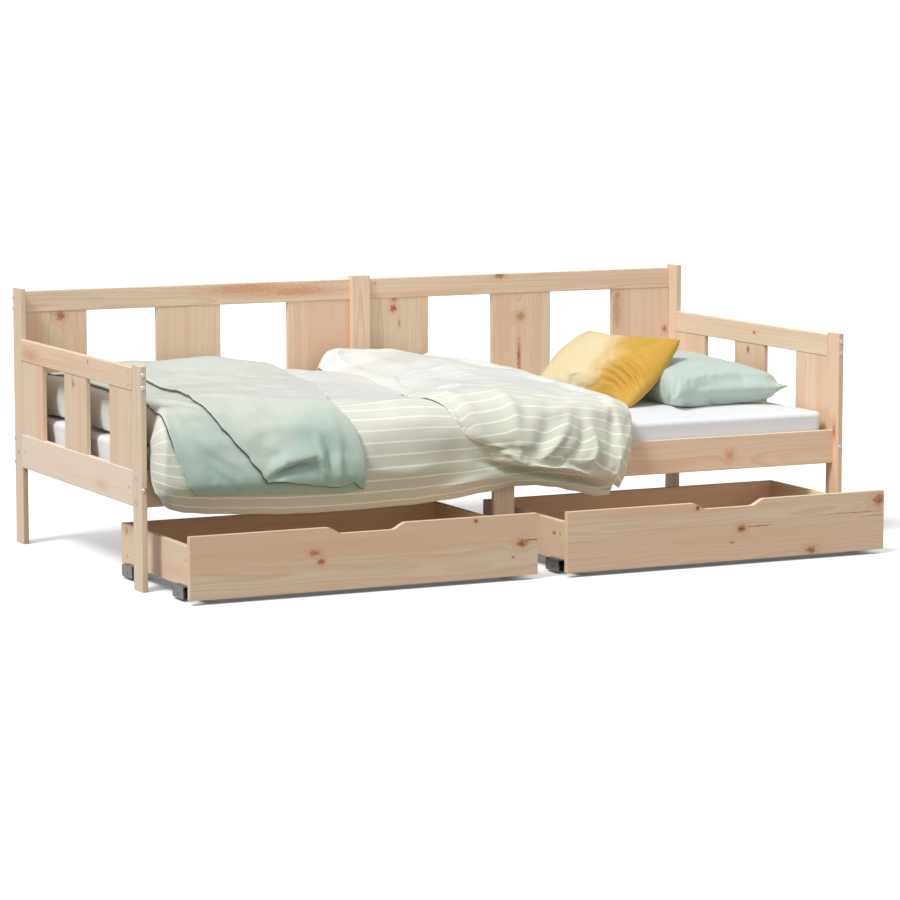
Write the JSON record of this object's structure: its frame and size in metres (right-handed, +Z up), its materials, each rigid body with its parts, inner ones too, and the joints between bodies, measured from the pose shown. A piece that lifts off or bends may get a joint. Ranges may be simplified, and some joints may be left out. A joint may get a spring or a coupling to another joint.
{
  "type": "storage daybed",
  "caption": "Slatted pine daybed with raised back and arms, mattress, duvet, throw and pillows, over two roll-out storage drawers with cut-out grips and side casters.",
  "frame": {"origin": "centre of the foot of the middle back post, on the floor", "axes": "+Z up, +X along the bed to the right as seen from the front, +Y towards the wall side; the drawers open towards -Y"},
  "size_m": [2.055, 1.224, 0.698],
  "materials": {
    "pine": "clear matt lacquer on knotty pine",
    "steel": "zinc plated",
    "wheel_plastic": "moulded",
    "mattress_cover": "smooth white cover",
    "duvet_cotton": "sage cotton with thin pale stripes",
    "throw_cotton": "soft padded cotton with dark piping",
    "pillow_cotton": "plain mint cotton",
    "cushion_velvet": "yellow velvet"
  },
  "bodies": {
    "bed": {"post_back_left": "pine", "post_back_middle": "pine", "post_back_right": "pine", "post_front_left": "pine", "post_front_right": "pine", "leg_front_middle": "pine", "back_top_rail_left": "pine", "back_top_rail_right": "pine", "back_low_rail": "pine", "back_slat_1": "pine", "back_slat_2": "pine", "back_slat_3": "pine", "back_slat_4": "pine", "back_slat_5": "pine", "back_slat_6": "pine", "arm_left_top_rail": "pine", "arm_left_low_rail": "pine", "arm_left_slat_1": "pine", "arm_left_slat_2": "pine", "arm_left_slat_3": "pine", "arm_right_top_rail": "pine", "arm_right_low_rail": "pine", "arm_right_slat_1": "pine", "arm_right_slat_2": "pine", "arm_right_slat_3": "pine", "front_rail": "pine", "ledge_front": "pine", "ledge_back": "pine", "slatted_base": "pine", "mattress": "mattress_cover", "duvet": "duvet_cotton", "throw": "throw_cotton", "pillow": "pillow_cotton", "cushion": "cushion_velvet"},
    "drawer_left": {"drawer_left_front": "pine", "drawer_left_bottom": "pine", "drawer_left_back": "pine", "drawer_left_side_left": "pine", "drawer_left_side_right": "pine", "drawer_left_bracket_front_left": "steel", "drawer_left_bracket_front_right": "steel", "drawer_left_bracket_back_left": "steel", "drawer_left_bracket_back_right": "steel"},
    "drawer_right": {"drawer_right_front": "pine", "drawer_right_bottom": "pine", "drawer_right_back": "pine", "drawer_right_side_left": "pine", "drawer_right_side_right": "pine", "drawer_right_bracket_front_left": "steel", "drawer_right_bracket_front_right": "steel", "drawer_right_bracket_back_left": "steel", "drawer_right_bracket_back_right": "steel"},
    "left_wheel_front_left": {"drawer_left_wheel_front_left": "wheel_plastic"},
    "left_wheel_front_right": {"drawer_left_wheel_front_right": "wheel_plastic"},
    "left_wheel_back_left": {"drawer_left_wheel_back_left": "wheel_plastic"},
    "left_wheel_back_right": {"drawer_left_wheel_back_right": "wheel_plastic"},
    "right_wheel_front_left": {"drawer_right_wheel_front_left": "wheel_plastic"},
    "right_wheel_front_right": {"drawer_right_wheel_front_right": "wheel_plastic"},
    "right_wheel_back_left": {"drawer_right_wheel_back_left": "wheel_plastic"},
    "right_wheel_back_right": {"drawer_right_wheel_back_right": "wheel_plastic"}
  },
  "joints": [
    {"name": "drawer_left_slide", "type": "slide", "parent": "bed", "child": "drawer_left", "axis": [0, -1, 0], "range_m": [-0.266, 0.234]},
    {"name": "drawer_right_slide", "type": "slide", "parent": "bed", "child": "drawer_right", "axis": [0, -1, 0], "range_m": [-0.287, 0.213]},
    {"name": "left_wheel_front_left_spin", "type": "hinge", "parent": "drawer_left", "child": "left_wheel_front_left", "pos_m": [-0.9786, -1.084, 0.016], "axis": [1, 0, 0], "range_deg": [-1080, 1080]},
    {"name": "left_wheel_front_right_spin", "type": "hinge", "parent": "drawer_left", "child": "left_wheel_front_right", "pos_m": [-0.0544, -1.084, 0.016], "axis": [1, 0, 0], "range_deg": [-1080, 1080]},
    {"name": "left_wheel_back_left_spin", "type": "hinge", "parent": "drawer_left", "child": "left_wheel_back_left", "pos_m": [-0.9786, -0.73, 0.016], "axis": [1, 0, 0], "range_deg": [-1080, 1080]},
    {"name": "left_wheel_back_right_spin", "type": "hinge", "parent": "drawer_left", "child": "left_wheel_back_right", "pos_m": [-0.0544, -0.73, 0.016], "axis": [1, 0, 0], "range_deg": [-1080, 1080]},
    {"name": "right_wheel_front_left_spin", "type": "hinge", "parent": "drawer_right", "child": "right_wheel_front_left", "pos_m": [0.0544, -1.105, 0.016], "axis": [1, 0, 0], "range_deg": [-1080, 1080]},
    {"name": "right_wheel_front_right_spin", "type": "hinge", "parent": "drawer_right", "child": "right_wheel_front_right", "pos_m": [0.9786, -1.105, 0.016], "axis": [1, 0, 0], "range_deg": [-1080, 1080]},
    {"name": "right_wheel_back_left_spin", "type": "hinge", "parent": "drawer_right", "child": "right_wheel_back_left", "pos_m": [0.0544, -0.751, 0.016], "axis": [1, 0, 0], "range_deg": [-1080, 1080]},
    {"name": "right_wheel_back_right_spin", "type": "hinge", "parent": "drawer_right", "child": "right_wheel_back_right", "pos_m": [0.9786, -0.751, 0.016], "axis": [1, 0, 0], "range_deg": [-1080, 1080]}
  ],
  "couplings": [
    {"joint": "left_wheel_front_left_spin", "follows": "drawer_left_slide", "rad_per_m": 62.5},
    {"joint": "left_wheel_front_right_spin", "follows": "drawer_left_slide", "rad_per_m": 62.5},
    {"joint": "left_wheel_back_left_spin", "follows": "drawer_left_slide", "rad_per_m": 62.5},
    {"joint": "left_wheel_back_right_spin", "follows": "drawer_left_slide", "rad_per_m": 62.5},
    {"joint": "right_wheel_front_left_spin", "follows": "drawer_right_slide", "rad_per_m": 62.5},
    {"joint": "right_wheel_front_right_spin", "follows": "drawer_right_slide", "rad_per_m": 62.5},
    {"joint": "right_wheel_back_left_spin", "follows": "drawer_right_slide", "rad_per_m": 62.5},
    {"joint": "right_wheel_back_right_spin", "follows": "drawer_right_slide", "rad_per_m": 62.5}
  ]
}
